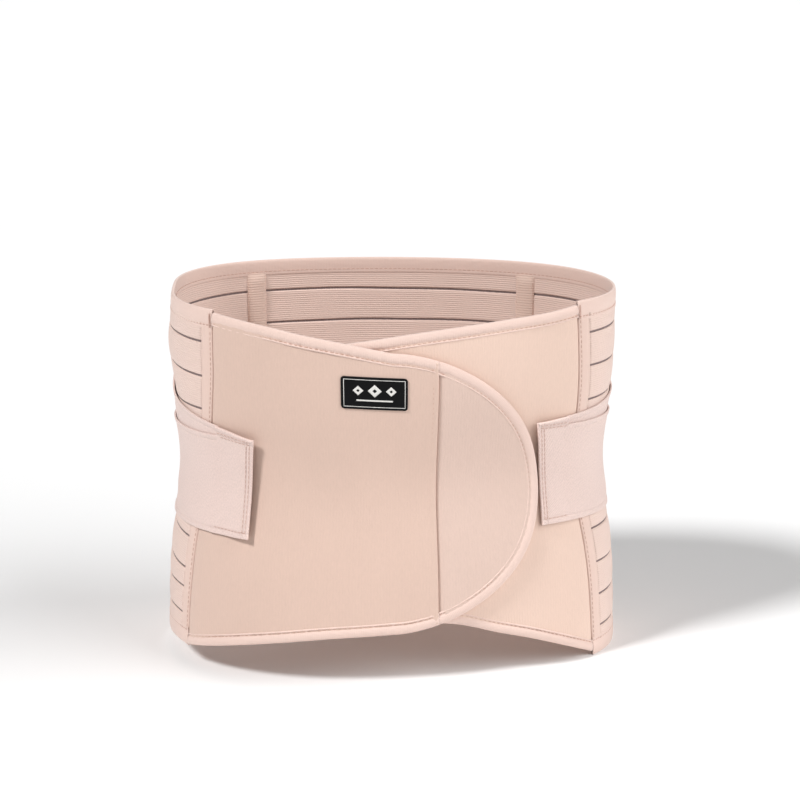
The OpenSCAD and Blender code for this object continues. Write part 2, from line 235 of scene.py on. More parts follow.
def linear(r, g, b):
    """A linear colour from an sRGB one, 0 to 255."""
    return tuple(((c / 255 + 0.055) / 1.055) ** 2.4 for c in (r, g, b)) + (1.0,)


class Nodes:
    """A short way to write a material's node tree."""

    def __init__(self, name, roughness):
        self.material = bpy.data.materials.new(name)
        self.material.use_nodes = True
        self.tree = self.material.node_tree
        self.shader = self.tree.nodes["Principled BSDF"]
        self.shader.inputs["Roughness"].default_value = roughness

    def node(self, kind, inputs=(), **settings):
        n = self.tree.nodes.new(kind)
        for key, value in settings.items():
            setattr(n, key, value)
        for key, value in dict(inputs).items():
            self.put(n.inputs[key], value)
        return n

    def put(self, socket, value):
        if isinstance(value, bpy.types.NodeSocket):
            self.tree.links.new(value, socket)
        else:
            socket.default_value = value

    def math(self, operation, *values, clamp=False):
        n = self.node("ShaderNodeMath", operation=operation, use_clamp=clamp)
        for i, value in enumerate(values):
            self.put(n.inputs[i], value)
        return n.outputs[0]

    def cloth(self):
        where = self.node("ShaderNodeAttribute", attribute_name="cloth").outputs["Vector"]
        parts = self.node("ShaderNodeSeparateXYZ", {"Vector": where})
        return parts.outputs["X"], parts.outputs["Y"], parts.outputs["Z"]

    def noise(self, x, y, scale_x, scale_y, detail=2.0, seed=0.0):
        """Noise whose grains are 1 / scale millimetres in each direction, from 0 to 1."""
        at = self.node("ShaderNodeCombineXYZ", {
            "X": self.math("MULTIPLY", x, scale_x), "Y": self.math("MULTIPLY", y, scale_y), "Z": seed})
        return self.noise_at(at.outputs[0], 1.0, detail)

    def noise_at(self, place, scale, detail=3.0):
        inputs = {"Vector": place, "Scale": scale, "Detail": detail}
        return self.node("ShaderNodeTexNoise", inputs).outputs[0]

    def wave(self, x, pitch, phase=0.0):
        """Sine ridges, one each pitch millimetres, from 0 to 1."""
        turns = self.math("MULTIPLY_ADD", x, math.tau / pitch, phase)
        return self.math("MULTIPLY_ADD", self.math("SINE", turns), 0.5, 0.5)

    def total(self, *terms):
        """Sum of (value, share) pairs, each value centred on 0.5."""
        result = 0.0
        for value, share in terms:
            centred = self.math("SUBTRACT", value, 0.5)
            result = self.math("MULTIPLY_ADD", centred, share, result)
        return result

    def shade(self, colour, variation, edge=None, worn=0.0):
        """Base colour times 1 + variation, paler by worn within a millimetre of an edge."""
        factor = self.math("ADD", variation, 1.0)
        if worn:
            near = self.math("SUBTRACT", 1.0, self.math("DIVIDE", edge, 1.2), clamp=True)
            factor = self.math("MULTIPLY_ADD", near, worn, factor)
        scaled = self.node("ShaderNodeVectorMath", {0: colour[:3]}, operation="SCALE")
        self.put(scaled.inputs["Scale"], factor)
        self.put(self.shader.inputs["Base Color"], scaled.outputs[0])

    def bump(self, height, depth_mm, strength=1.0):
        n = self.node("ShaderNodeBump", {"Height": height, "Distance": depth_mm * MM, "Strength": strength})
        self.put(self.shader.inputs["Normal"], n.outputs["Normal"])

    def soft(self, sheen, specular=0.2):
        self.shader.inputs["Sheen Weight"].default_value = sheen
        self.shader.inputs["Sheen Roughness"].default_value = 0.5
        self.shader.inputs["Specular IOR Level"].default_value = specular

    def rough(self, value, low, high):
        self.put(self.shader.inputs["Roughness"], self.node(
            "ShaderNodeMapRange", {"Value": value, "To Min": low, "To Max": high}).outputs[0])

    def done(self, value, low, high, sheen, specular=0.2):
        self.rough(value, low, high)
        self.soft(sheen, specular)
        return self.material


def brushed_fabric(name, colour, nap=1.0):
    """Loop fabric with a short vertical nap, soft blotches and pilling along its edges."""
    m = Nodes(name, 0.95)
    u, z, edge = m.cloth()
    blotch = m.noise(u, z, 0.028, 0.02, 3.0, 3.1)
    nap_lines = m.noise(u, z, 1.3, 0.28, 3.0, 7.7)
    fuzz = m.noise(u, z, 2.1, 1.9, 3.0, 1.3)
    ribs = m.wave(u, 1.9)
    tone = m.total((blotch, 0.05), (nap_lines, 0.10 * nap), (fuzz, 0.07 * nap), (ribs, 0.012))
    m.shade(colour, tone, edge, 0.03)
    m.bump(m.total((nap_lines, 0.7), (fuzz, 0.6), (ribs, 0.12)), 0.35, 0.45 * nap)
    return m.done(fuzz, 0.88, 1.0, 0.35)


def ribbed_elastic(name, colour, rib=1.5, stripe=0.06):
    """Woven elastic: cords along u under fine threads across them."""
    m = Nodes(name, 0.85)
    u, z, edge = m.cloth()
    wander = m.math("MULTIPLY_ADD", m.noise(u, z, 0.05, 0.05, 1.0, 2.0), 1.2, z)
    cords = m.wave(wander, rib)
    threads = m.wave(m.math("MULTIPLY_ADD", cords, 0.5, u), 0.9)
    fibre = m.noise(u, z, 0.5, 3.1, 3.0, 5.0)
    blotch = m.noise(u, z, 0.02, 0.05, 2.0, 9.0)
    m.shade(colour, m.total((cords, stripe), (threads, 0.035), (fibre, 0.09), (blotch, 0.05)), edge, 0.04)
    m.bump(m.total((cords, 0.9), (threads, 0.35), (fibre, 0.4)), 0.3, 0.6)
    return m.done(fibre, 0.75, 0.95, 0.25)


def twill_strap(name, colour):
    """Strap elastic with a fine diagonal weave."""
    m = Nodes(name, 0.85)
    u, z, edge = m.cloth()
    lean = m.math("MULTIPLY_ADD", z, 0.62, u)
    other = m.math("MULTIPLY_ADD", z, -1.1, u)
    twill = m.wave(lean, 1.35)
    cross = m.wave(other, 1.05)
    fibre = m.noise(lean, z, 1.9, 0.8, 3.0, 4.0)
    blotch = m.noise(u, z, 0.05, 0.06, 3.0, 6.0)
    speckle = m.noise(lean, other, 0.85, 0.5, 2.0, 11.0)
    tone = m.total((twill, 0.07), (cross, 0.04), (fibre, 0.22), (speckle, 0.3), (blotch, 0.035))
    m.shade(colour, tone, edge, 0.05)
    m.bump(m.total((twill, 0.8), (cross, 0.4), (fibre, 0.7), (speckle, 0.6)), 0.34, 0.65)
    return m.done(fibre, 0.75, 0.95, 0.25)


def knit(name, colour, pitch=0.9, sheen=0.3, deep=0.25):
    """Smooth knit, as in bindings, tapes and linings."""
    m = Nodes(name, 0.9)
    u, z, edge = m.cloth()
    wales = m.wave(z, pitch)
    courses = m.wave(u, pitch * 1.2)
    fibre = m.noise(u, z, 1.7, 1.7, 3.0, 8.0)
    blotch = m.noise(u, z, 0.04, 0.06, 2.0, 1.0)
    m.shade(colour, m.total((wales, 0.03), (courses, 0.03), (fibre, 0.09), (blotch, 0.04)), edge, 0.03)
    m.bump(m.total((wales, 0.5), (courses, 0.4), (fibre, 0.6)), deep, 0.5)
    return m.done(fibre, 0.82, 0.98, sheen)


def open_mesh_and_gap_shade(name, colour):
    """Dark net between the bands; its dark colour is partly the net's own and partly painted shade of the
    gaps.
    """
    m = Nodes(name, 0.7)
    u, z, _ = m.cloth()
    net = m.math("MULTIPLY", m.wave(u, 1.1), m.wave(z, 0.8))
    fibre = m.noise(u, z, 1.2, 2.5, 2.0, 2.0)
    m.shade(colour, m.total((net, 0.7), (fibre, 0.4)))
    m.bump(m.total((net, 1.0), (fibre, 0.3)), 0.3, 0.7)
    return m.done(fibre, 0.6, 0.85, 0.1)


def hook_tape(name, colour):
    """Rows of tiny hooks on a woven ground."""
    m = Nodes(name, 0.6)
    u, z, _ = m.cloth()
    hooks = m.math("MULTIPLY", m.wave(u, 1.5), m.wave(z, 1.3))
    fibre = m.noise(u, z, 1.5, 1.5, 2.0, 3.0)
    m.shade(colour, m.total((hooks, 0.22), (fibre, 0.10)))
    m.bump(m.total((hooks, 1.0), (fibre, 0.3)), 0.5, 0.9)
    return m.done(fibre, 0.45, 0.7, 0.1, 0.4)


def woven_label(name, colour):
    """Close satin weave of the label and of its motif."""
    m = Nodes(name, 0.5)
    u, z, edge = m.cloth()
    weft = m.wave(z, 0.7)
    warp = m.wave(u, 0.55)
    fibre = m.noise(u, z, 0.8, 3.0, 2.0, 6.0)
    m.shade(colour, m.total((weft, 0.35), (warp, 0.2), (fibre, 0.3)), edge, 0.4)
    m.bump(m.total((weft, 0.8), (warp, 0.4)), 0.12, 0.4)
    return m.done(weft, 0.55, 0.7, 0.0, 0.1)


def thread_fibre(name, colour):
    """Twisted sewing thread."""
    m = Nodes(name, 0.6)
    u, z, _ = m.cloth()
    ply = m.wave(m.math("ADD", u, z), 0.45)
    tone = m.noise(u, z, 0.3, 0.3, 1.0, 5.0)
    m.shade(colour, m.total((ply, 0.12), (tone, 0.08)))
    m.bump(ply, 0.06, 0.5)
    m.soft(0.2, 0.3)
    return m.material


def object_noise(m, scale):
    return m.noise_at(m.node("ShaderNodeTexCoord").outputs["Object"], scale)


def brushed_steel(name):
    """Spring steel with its grain along the stay."""
    m = Nodes(name, 0.35)
    m.shader.inputs["Metallic"].default_value = 1.0
    at = m.node("ShaderNodeTexCoord").outputs["Object"]
    stretched = m.node("ShaderNodeVectorMath", {0: at, 1: (4000, 4000, 60)}, operation="MULTIPLY")
    grain = m.noise_at(stretched.outputs[0], 1.0)
    m.shade((0.58, 0.60, 0.63), m.total((grain, 0.25), (object_noise(m, 60), 0.1)))
    m.bump(grain, 0.03, 0.4)
    m.rough(grain, 0.28, 0.45)
    return m.material


def moulded_plastic(name):
    """Black tips of the stays, finely grained."""
    m = Nodes(name, 0.5)
    grain = object_noise(m, 2500)
    m.shade((0.03, 0.03, 0.033), m.total((grain, 0.3), (object_noise(m, 80), 0.2)))
    m.bump(grain, 0.05, 0.4)
    m.rough(grain, 0.42, 0.62)
    return m.material


FACE = brushed_fabric("brushed_face", linear(206, 179, 165))
# The inner panel's face is the same brushed cloth painted lighter: its extra lightness is painted light, as
# if lit more from the right.
INNER_FACE_PAINTED_LIGHT = brushed_fabric("brushed_face_inner_painted_light", linear(219, 192, 177))
END_FACE = brushed_fabric("brushed_face_end", linear(207, 182, 170), 1.15)
ELASTIC = ribbed_elastic("ribbed_elastic", linear(220, 195, 184))
# A darker copy of the band elastic for the stay casings inside the back: its extra darkness is painted
# shade of the back's inside.
ELASTIC_PAINTED_SHADE = ribbed_elastic("ribbed_elastic_painted_shade", linear(213, 187, 174), 1.8, 0.03)
STRAP = twill_strap("strap_twill", linear(222, 199, 191))
BINDING = knit("binding_knit", linear(220, 194, 183))
TAPE = knit("tape_knit", linear(218, 191, 179), 0.8)
LINING = knit("lining_knit", linear(222, 192, 174), 1.2)
# Dark net colour, partly the net's own and partly painted shade of the gaps between the bands.
MESH = open_mesh_and_gap_shade("open_mesh_and_gap_shade", linear(132, 114, 112))
HOOK = hook_tape("hook_tape", linear(224, 199, 188))
LABEL = woven_label("label_weave", (0.004, 0.004, 0.0045, 1.0))
MOTIF = woven_label("label_motif", linear(214, 212, 208))
THREAD = thread_fibre("sewing_thread", linear(194, 157, 141))
DARK_THREAD = thread_fibre("bartack_thread", linear(176, 136, 120))
STEEL = brushed_steel("stay_steel")
PLASTIC = moulded_plastic("tip_plastic")


# ---- Pieces

def add_object(name, data):
    made = bpy.data.objects.new(name, data)
    bpy.context.scene.collection.objects.link(made)
    return made


class Piece:
    """Collects points, faces and cloth coordinates, and makes one mesh object from them."""

    def __init__(self, name, *materials):
        self.name = name
        self.materials = materials
        self.points = []
        self.cloth = []
        self.faces = []
        self.slots = []
        self.count = 0

    def add(self, points, cloth, faces, slot=0):
        self.points.append(points.reshape(-1, 3))
        self.cloth.append(cloth.reshape(-1, 3))
        self.faces.extend((np.asarray(faces) + self.count).tolist())
        self.slots.extend([slot] * len(faces))
        self.count += len(self.points[-1])

    def make(self):
        mesh = bpy.data.meshes.new(self.name)
        mesh.from_pydata(np.concatenate(self.points).tolist(), [], self.faces)
        mesh.polygons.foreach_set("material_index", self.slots)
        for material in self.materials:
            mesh.materials.append(material)
        mesh.attributes.new("cloth", "FLOAT_VECTOR", "POINT").data.foreach_set(
            "vector", np.concatenate(self.cloth).astype(np.float32).ravel())
        work = bmesh.new()
        work.from_mesh(mesh)
        bmesh.ops.recalc_face_normals(work, faces=work.faces)
        work.to_mesh(mesh)
        work.free()
        mesh.polygons.foreach_set("use_smooth", [True] * len(mesh.polygons))
        return add_object(self.name + "_cloth", mesh)


def grid_faces(n, m, first=0, closed=False):
    """Quads over a grid of n by m points; closed joins the last row of m to the first."""
    i, j = np.meshgrid(np.arange(n - 1), np.arange(m if closed else m - 1), indexing="ij")
    i, j = i.ravel(), j.ravel()
    k = (j + 1) % m
    return np.stack([i * m + j, (i + 1) * m + j, (i + 1) * m + k, i * m + k], 1) + first


def add_shell(piece, u, z, out, inn, edge, slot=0):
    """A closed shell over the grids u and z, from offset inn to offset out."""
    n, m = u.shape
    size = n * m
    cloth = np.stack([u, z, edge], -1)
    border = np.concatenate([
        np.arange(n) * m, (n - 1) * m + np.arange(1, m), np.arange(n - 2, -1, -1) * m + m - 1,
        np.arange(m - 2, 0, -1)])
    after = np.roll(border, -1)
    rim = np.stack([border, after, after + size, border + size], 1)
    faces = np.concatenate([grid_faces(n, m), grid_faces(n, m, size)[:, ::-1], rim])
    points = np.stack([on_loop(u, z, out), on_loop(u, z, inn)])
    piece.add(points, np.stack([cloth, cloth]), faces, slot)


def add_tube(piece, rings, cloth, slot=0):
    """A closed tube through rings of points, with a fan-free flat cap of quads at each end."""
    n, k = rings.shape[:2]
    half = k // 2
    caps = [[[j, j + 1, k - 2 - j, k - 1 - j] for j in range(half - 1)]]
    caps.append([[(n - 1) * k + j for j in reversed(quad)] for quad in caps[0]])
    piece.add(rings, cloth, np.concatenate([grid_faces(n, k, closed=True)] + caps), slot)


def shares(length, step, edges=(0, 0.15, 0.4, 0.8, 1.4, 2.2)):
    """Shares from 0 to 1 along a length, close together near both ends."""
    inside = np.linspace(edges[-1], length - edges[-1], max(2, round(length / step)))
    ends = np.array(edges[:-1])
    return np.concatenate([ends, inside, length - ends[::-1]]) / length


def rounded(edge, radius):
    """From 0 at an edge to 1 a radius inside it, as a quarter circle."""
    return np.sqrt(1 - (1 - np.clip(edge / radius, 0, 1)) ** 2)


def ripple(u, z, seed):
    """Slow, repeatable unevenness of sewn cloth, about -1 to 1."""
    a = np.sin(u / 17 + seed) * np.cos(z / 23 + 2.1 * seed)
    b = np.sin(u / 31 - z / 27 + 1.7 * seed)
    c = np.sin(u / 9.5 + z / 14 + 0.6 * seed)
    return 0.45 * a + 0.4 * b + 0.15 * c


STITCH = 2.5
STITCH_GAP = 0.9
THREAD_R = 0.24


def add_stitches(piece, u, z, off, slot=1, length=STITCH, gap=STITCH_GAP, radius=THREAD_R):
    """A row of lockstitches along a path, each a small arched capsule that dives into the cloth."""
    fine = np.linspace(0, 1, 1200)
    at = np.linspace(0, 1, len(u))
    u, z = np.interp(fine, at, u), np.interp(fine, at, z)
    off = np.interp(fine, at, np.broadcast_to(off, at.shape))
    path = on_loop(u, z, off)
    up = on_loop(u, z, off + 1) - path
    along = distances(path) / MM
    starts = np.arange(gap, along[-1] - length, length + gap)
    ring_t = np.array([0, 0.08, 0.3, 0.7, 0.92, 1.0])
    ring_r = np.array([0.25, 0.75, 1, 1, 0.75, 0.25]) * radius
    ring_up = np.array([-0.25, -0.02, 0.14, 0.14, -0.02, -0.25])
    turn = np.arange(6) * math.tau / 6
    for start in starts:
        s = start + ring_t * length
        centre = np.stack([np.interp(s, along, path[:, i]) for i in range(3)], 1)
        normal = np.stack([np.interp(s, along, up[:, i]) for i in range(3)], 1)
        normal /= np.linalg.norm(normal, axis=1)[:, None]
        direction = centre[-1] - centre[0]
        direction /= np.linalg.norm(direction)
        side = np.cross(direction, normal)
        centre = centre + normal * ring_up[:, None] * MM
        rings = (centre[:, None] + (side[:, None] * np.cos(turn)[None, :, None]
                 + normal[:, None] * np.sin(turn)[None, :, None]) * ring_r[:, None, None] * MM)
        where = np.stack([np.interp(s, along, u), np.interp(s, along, z), 3 + 0 * s], 1)
        add_tube(piece, rings, np.repeat(where[:, None], 6, 1), slot)


def finish(piece, body, cad_nodes, opens=None):
    """Puts a piece on its body or, when it lies across a joint (opens), bakes its place into its mesh and
    leaves it on no body; either way it hides the piece's CAD nodes."""
    if opens:
        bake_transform(piece)
    else:
        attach(piece, body)
    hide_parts(*cad_nodes)
    return piece


def path_length(u, z, off=0.0):
    """Length in millimetres of a path on the loop."""
    return float(distances(on_loop(u, z, off))[-1]) / MM


JOINTS = {joint["name"]: joint for joint in frame["record"]["behaviour"]["joints"]}


def across(name, u, z, near, far, side):
    joint = JOINTS[name]
    axis = np.array(joint["axis"], float)
    axis /= np.linalg.norm(axis)
    tangent = (on_loop(u + 1, z, 0) - on_loop(u - 1, z, 0)) * side
    tangent -= axis * (tangent @ axis)
    tangent /= np.linalg.norm(tangent)
    place = np.array(joint["pos_m"], float)
    start, end = (tuple(place + tangent * past * MM) for past in (near, far))
    return joint["parent"], joint["child"], start, end


OPEN_NEAR, OPEN_FAR = 3.5, 9.5
MID_H = BRACE_H / 2
left_opening = across("outer_panel_open", left_hinge(MID_H), MID_H, OPEN_NEAR, OPEN_FAR, 1)
right_opening = across("inner_panel_open", right_seam(MID_H), MID_H, OPEN_NEAR, OPEN_FAR, -1)
end_opening = across("flap_end_lift", 28.6, 129, 2.0, 10.0, 1)
left_peeling = across("left_tab_peel", left_hinge(132) + 9, 132, 0.5, 7, 1)
right_peeling = across("right_tab_peel", right_seam(136) - 9, 136, 0.5, 7, -1)
PANEL_OPENING = {-1: left_opening, 1: right_opening}
TAB_PEELING = {-1: left_peeling, 1: right_peeling}

BINDING_W, BINDING_T = 7.5, 0.45
FOAM_T, FACE_T, LINING_T = 1.5, 0.6, 0.4
PANEL_OUT = FOAM_T / 2 + FACE_T
PANEL_IN = -FOAM_T / 2 - LINING_T
BAND_T = 1.6
BODY_GAP = 0.08   # between a front panel and the back
SEWN_GAP = 0.03   # between the outer panel and its round end


def side_name(side):
    return "left" if side < 0 else "right"


def facing(side, *grids):
    """The grids, with their first index reversed on the right side (side 1)."""
    return [grid if side < 0 else grid[::-1] for grid in grids]


# ---- Elastic back

BAND_COUNT = 11
BAND_PITCH, MESH_GAP, FIRST_GAP_Z = 23.2, 1.25, 227.5
SEAM_TAPE_W = 10.0
TRIM_OUT, TRIM_IN = 13.0, 11.0


def back_u_at(z, s, margin):
    """u across the back at height z, from the right seam (s = 0) round to the left one."""
    return mix(right_seam(z) + margin, LOOP_LENGTH + left_seam(z) - margin, s)


def gap_z(i, u):
    """Height of the middle of gap i, counted from the top."""
    level = FIRST_GAP_Z - BAND_PITCH * (i - 1)
    rise = back_bottom_z(u) * 1.1 * (1 - smooth(22, 78, level))
    return level + rise + 0.35 * np.sin(u / 38 + 2.3 * i) + 0.15 * np.sin(u / 11 + i)


def band_top(i, u):
    return BRACE_H - 0.8 + 0 * u if i == 1 else gap_z(i - 1, u) - MESH_GAP / 2


def band_bottom(i, u):
    return back_bottom_z(u) + 0.8 if i == BAND_COUNT else gap_z(i, u) + MESH_GAP / 2


def back_grid(low, high, up_shares):
    """Grids u and z between two heights that are functions of u, from seam tape to seam tape."""
    s = np.linspace(0, 1, 220)[:, None]
    guess = back_u_at(BRACE_H / 2, s, SEAM_TAPE_W)
    z = mix(low(guess), high(guess), up_shares[None, :])
    return back_u_at(z, s, SEAM_TAPE_W), z


def make_band(i):
    name = f"elastic_band_{i:02d}"
    t = np.array([0, 0.012, 0.04, 0.09, 0.18, 0.34, 0.5, 0.66, 0.82, 0.91, 0.96, 0.988, 1])
    u, z = back_grid(lambda v: band_bottom(i, v), lambda v: band_top(i, v), t)
    edge = np.minimum(z - z[:, :1], z[:, -1:] - z)
    full = rounded(edge, 0.7)
    crown = 0.35 * np.sin(np.pi * t)[None, :] + 0.25 * ripple(u, z * 0.3 + 11 * i, i)
    piece = Piece(name, ELASTIC)
    add_shell(piece, u, z, BAND_T * (0.5 + 0.5 * full) + crown * full, BAND_T * (0.5 - 0.5 * full), edge)
    return finish(piece.make(), "back", [name])


# The dark net fills the gaps between the bands; its darkness is partly painted shade of those gaps.
def make_mesh_strips():
    piece = Piece("mesh_strips", MESH)
    half = MESH_GAP / 2 + 0.5
    for i in range(1, BAND_COUNT):
        u, z = back_grid(lambda v: gap_z(i, v) - half, lambda v: gap_z(i, v) + half, np.linspace(0, 1, 7))
        wavy = 0.12 * np.sin(u / 0.9) * np.cos(z / 0.5)
        add_shell(piece, u, z, 0.95 + wavy, 0.6 + wavy, np.minimum(z - z[:, :1], z[:, -1:] - z))
    return finish(piece.make(), "back", ["mesh_strips"])


# Profile of a folded binding: [share of the width inwards from the edge, rise over the panel]
OUTER_LEG = np.array([
    [1.0, 0.0], [0.985, 0.5], [0.955, 0.85], [0.91, 0.98], [0.865, 0.85], [0.83, 0.4], [0.77, 0.2],
    [0.71, 0.28], [0.63, 0.72], [0.5, 1.05], [0.34, 1.15], [0.18, 1.02], [0.05, 0.72]])
INNER_LEG = np.array([
    [0.1, 0.7], [0.3, 0.8], [0.55, 0.75], [0.68, 0.5], [0.74, 0.5], [0.85, 0.7], [0.97, 0.5], [1.0, 0.0]])


def add_binding(piece, u, z, inward, rise, out0, in0, width_out, width_in, plump=1.0, pucker=0.16):
    """Binding folded over the edge path (u, z), with a row of stitches through its outer leg.

    inward is the unit direction (du, dz) into the piece, rise(u) how far the piece stands off, and
    out0 and in0 are its faces. Returns the width and length that the binding was cut to."""
    n = len(u)
    steps = np.hypot(np.gradient(u), np.gradient(z))
    length = np.cumsum(steps)
    middle = (out0 + in0) / 2
    fold_r = (out0 - in0) / 2 + 0.5 * plump
    fold = np.radians(np.linspace(65, -65, 6))
    rows = [(share * width_out, out0 + up * plump) for share, up in OUTER_LEG]
    rows += [(-0.35 - 0.75 * math.cos(a), middle + fold_r * math.sin(a)) for a in fold]
    rows += [(share * width_in, in0 - up * plump) for share, up in INNER_LEG]
    rows = np.array(rows)
    # the strip is folded cloth, so its own inner side runs back a cloth's thickness inside
    slope = np.gradient(rows, axis=0)
    slope /= np.hypot(slope[:, 0], slope[:, 1])[:, None]
    inside = rows + BINDING_T * np.stack([-slope[:, 1], slope[:, 0]], 1)
    rows = np.concatenate([rows, inside[::-1]])
    d, off = rows[:, 0][None, :], np.repeat(rows[:, 1][None, :], n, 0)
    near_seam = ridge(d / width_out - 0.8, 0.3) * (off > middle)
    wave = np.sin(length * 1.15 + 2.0 * np.sin(length / 13)) + 0.5 * np.sin(length * 0.47 + 1)
    off = off + pucker * wave[:, None] * near_seam
    uu = u[:, None] + inward[0][:, None] * d
    zz = z[:, None] + inward[1][:, None] * d
    points = on_loop(uu, zz, rise(uu) + off)
    cloth = np.stack([np.repeat(length[:, None], len(rows), 1), np.repeat(d, n, 0), 2 + 0 * off], -1)
    add_tube(piece, points, cloth)
    seam = 0.78 * width_out
    su, sz = u + inward[0] * seam, z + inward[1] * seam
    add_stitches(piece, su, sz, rise(su) + out0 + 0.25 * plump + 0.1)
    return width_out + width_in + 3, path_length(u, z, out0)


def make_trim(up):
    name = "top_trim" if up > 0 else "bottom_trim"
    s = np.linspace(0, 1, 260)
    guess = back_u_at(BRACE_H if up > 0 else 0, s, BODY_GAP)
    edge_z = BRACE_H + 0 * s if up > 0 else back_bottom_z(guess)
    u = back_u_at(edge_z, s, BODY_GAP)
    # the trim's depth follows the seam's slope, so its ends stay level with the seams
    lean = (back_u_at(edge_z - up * 10, s, BODY_GAP) - u) / 10
    inward = (lean, np.full_like(s, -up))
    piece = Piece(name, BINDING, THREAD)
    fold = 0.6
    cut = add_binding(piece, u, edge_z - up * fold, inward, flat, BAND_T, 0.0,
                      TRIM_OUT - fold, TRIM_IN - fold, plump=0.6)
    seam = TRIM_IN - 3
    add_stitches(piece, u + lean * seam, edge_z - up * seam, -0.45)
    return finish(piece.make(), "back", [name])


def make_bartack(piece, side):
    """Short stitches packed side by side that lock the seam where trim and binding meet."""
    for z in np.arange(BRACE_H - 11.5, BRACE_H - 2.5, 0.8):
        start = front_seam(side, z) + side * 0.5
        ends = np.array([start - 0.2, start + side * 2.4])
        add_stitches(piece, ends, np.array([z, z + 0.3]), BAND_T + 1.0, slot=2,
                     length=1.7, gap=0.3, radius=0.2)


def make_seam_tape(side):
    name = side_name(side) + "_seam_tape"
    low = (float(back_bottom_z(left_seam(0.0))) if side < 0 else 0) + TRIM_OUT - 1.5
    t = shares(BRACE_H - TRIM_OUT - low, 3.0)
    z = mix(low, BRACE_H - TRIM_OUT + 1.5, t)[None, :]
    d = np.array([BODY_GAP, 0.25, 0.6, 1.1, 1.7, 2.2, 3.2, 4.2, 5.2,
                  6.2, 7.2, 7.7, 8.2, 9.0, 9.6, 10.0, 10.2])[:, None]
    seam = front_seam(side, z)
    u = seam + side * d
    z = z + 0 * d
    edge = np.minimum(d - d[0], d[-1] - d) + 0 * z
    body = BAND_T * 0.5 + (BAND_T * 0.5 + 0.6) * rounded(edge, 0.9)
    grooves = 0.3 * (ridge(d - 1.7, 0.4) + ridge(d - 8.2, 0.5)) + 0.08 * np.sin(z * 0.7) * ridge(d - 5, 3)
    piece = Piece(name, TAPE, THREAD, DARK_THREAD)
    add_shell(piece, *facing(-side, u, z, body - grooves, 0 * u, edge))
    add_stitches(piece, seam[0] + side * 1.7, z[0], BAND_T + 0.4)
    make_bartack(piece, side)
    return finish(piece.make(), "back", [name])


def strip(middle_u, low, high, width):
    """Grids of an upright tape: u, z, and the distances to its middle line and to its edge."""
    half = np.array([0, 0.3, 0.6, 0.72, 0.8, 0.9, 0.97, 1]) * width / 2
    d = np.concatenate([-half[:0:-1], half])[:, None]
    z = mix(low, high, shares(high - low, (high - low) / 90))[None, :] + 0 * d
    edge = np.minimum(width / 2 - np.abs(d), np.minimum(z - low, high - z))
    return middle_u + d + 0 * z, z, np.abs(d), edge


CASING_W = 13.6
ANCHOR_TAPE_W = 14.6


def make_casing(side):
    """The channel round a stay, inside the back, where u rises towards the left."""
    name = side_name(side) + "_stay_casing"
    middle = BACK_U - side * STAY_U
    low, high = TRIM_IN - 2, BRACE_H - TRIM_IN + 2
    u, z, d, edge = strip(middle, low, high, CASING_W)
    ends = smooth(0, 5, np.minimum(z - low, high - z))
    channel = np.clip(1 - (2 * d / CASING_W) ** 2.5, 0, 1) ** 0.7 * mix(0.3, 1, ends)
    pressed = sum(ridge(z - gap_z(i, u), 1.0) for i in range(1, BAND_COUNT))
    piece = Piece(name, ELASTIC_PAINTED_SHADE, THREAD)
    add_shell(piece, u, z, -0.05 + 0 * u, -0.25 - 2.2 * channel + 0.12 * pressed * ends, edge)
    rows = np.linspace(low + 3, high - 3, 120)
    for at in (-0.9, 0.9):
        add_stitches(piece, middle + at * CASING_W / 2 + 0 * rows, rows, -0.95)
    return finish(piece.make(), "back", [name])


# ---- Pull straps

STRAP_W = 67.5
STRAP_T = 0.8
LAYER_GAP = 0.3
UNDER_OFF = BAND_T + 0.8
OVER_OFF = UNDER_OFF + STRAP_T + LAYER_GAP
TAB_START = 9.5
LEFT_TAB_U, RIGHT_TAB_U = -87.2, 101.4
LEFT_ANCHOR_U = BACK_U + STAY_U - LOOP_LENGTH
RIGHT_ANCHOR_U = BACK_U - STAY_U
# Each pair of straps at its tab and at its anchor: u, top, bottom, and how late its edges spread
FANS = {-1: [[LEFT_TAB_U, 167.4, 99.6], [LEFT_ANCHOR_U, 205, 90], 0.95],
        1: [[RIGHT_TAB_U, 171.8, 100], [RIGHT_ANCHOR_U, 200, 92], 1.5]}


def fan_edge(fan, edge, u):
    """Height of the upper (edge 1) or lower (edge 2) outline of a fan at u."""
    share = np.clip((u - fan[0][0]) / (fan[1][0] - fan[0][0]), 0, None)
    return mix(fan[0][edge], fan[1][edge], share ** fan[2])


def tab_start(side, z):
    return left_hinge(z) + TAB_START if side < 0 else right_seam(z) - TAB_START


def tab_end(side, t):
    """Where a tab's free end is cut, by the share of its height, so that it hangs straight."""
    half = 2 * t - 1
    if side < 0:
        return LEFT_TAB_U - 2.3 + 2.2 * half + 2.1 * half ** 2
    return RIGHT_TAB_U + 0.4 - 2.95 * half - 3.05 * half ** 2


HEM = 3.4
TAB_T = 1.5
TAB_LENGTH = 34.0
HOOK_LENGTH, HOOK_H, HOOK_INSET = 26.0, 60.0, 4.0


